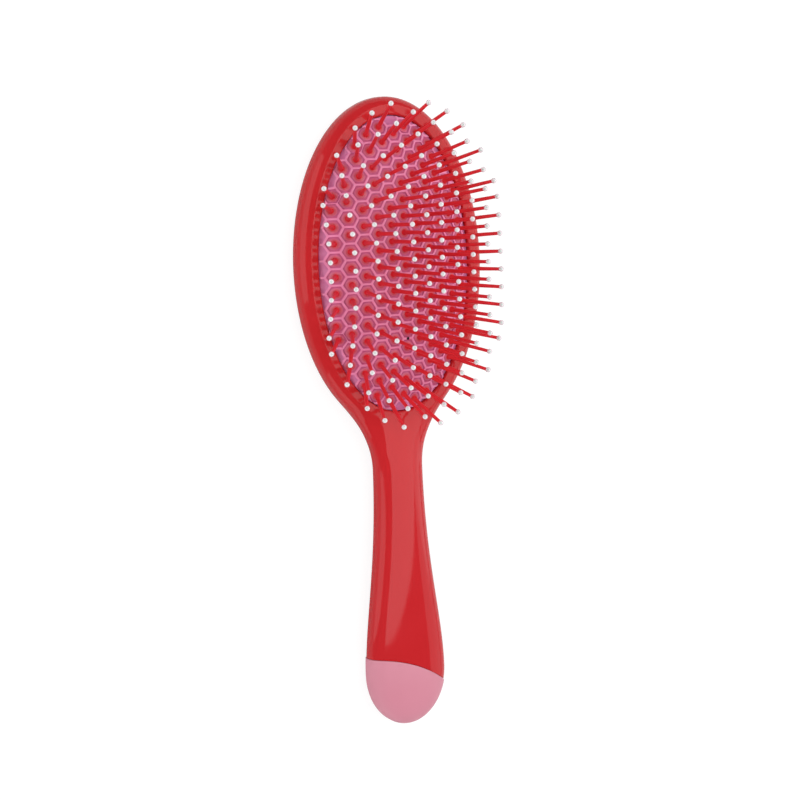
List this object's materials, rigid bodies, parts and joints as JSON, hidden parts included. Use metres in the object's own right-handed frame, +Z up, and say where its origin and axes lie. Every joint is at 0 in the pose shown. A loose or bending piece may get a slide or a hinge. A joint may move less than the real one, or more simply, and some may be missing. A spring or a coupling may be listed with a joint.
{
  "type": "oval cushion hair brush",
  "caption": "Oval hair brush with a domed rubber cushion, fanned ball-tipped pins, a glossy hollow body and a soft-coloured cap over the end of its flared handle.",
  "frame": {"origin": "on the resting plane, under the middle of the brush's bounding box", "axes": "+Z up out of the pins' side, with the brush lying on the flat of its back; +Y along the brush from the handle to the head; +X to the right, seen from above with the head away from the viewer"},
  "size_m": [0.0768, 0.2384, 0.0395],
  "materials": {
    "body_plastic": "high gloss, injection moulded",
    "cushion_rubber": "satin, moulded with low ridges",
    "cap_plastic": "satin",
    "pin_plastic": "satin, with white rounded tips"
  },
  "bodies": {
    "brush_body": {"front_shell": "body_plastic", "back_shell": "body_plastic", "cushion": "cushion_rubber", "end_cap": "cap_plastic"},
    "pin_field": {"pin_row_01": "pin_plastic", "pin_row_02": "pin_plastic", "pin_row_03": "pin_plastic", "pin_row_04": "pin_plastic", "pin_row_05": "pin_plastic", "pin_row_06": "pin_plastic", "pin_row_07": "pin_plastic", "pin_row_08": "pin_plastic", "pin_row_09": "pin_plastic", "pin_row_10": "pin_plastic", "pin_row_11": "pin_plastic"}
  },
  "joints": [
    {"name": "cushion_press", "type": "slide", "parent": "brush_body", "child": "pin_field", "axis": [0, 0, -1], "range_m": [0, 0.0025], "stiffness_N_per_m": 1000, "deforming": ["cushion"]}
  ]
}
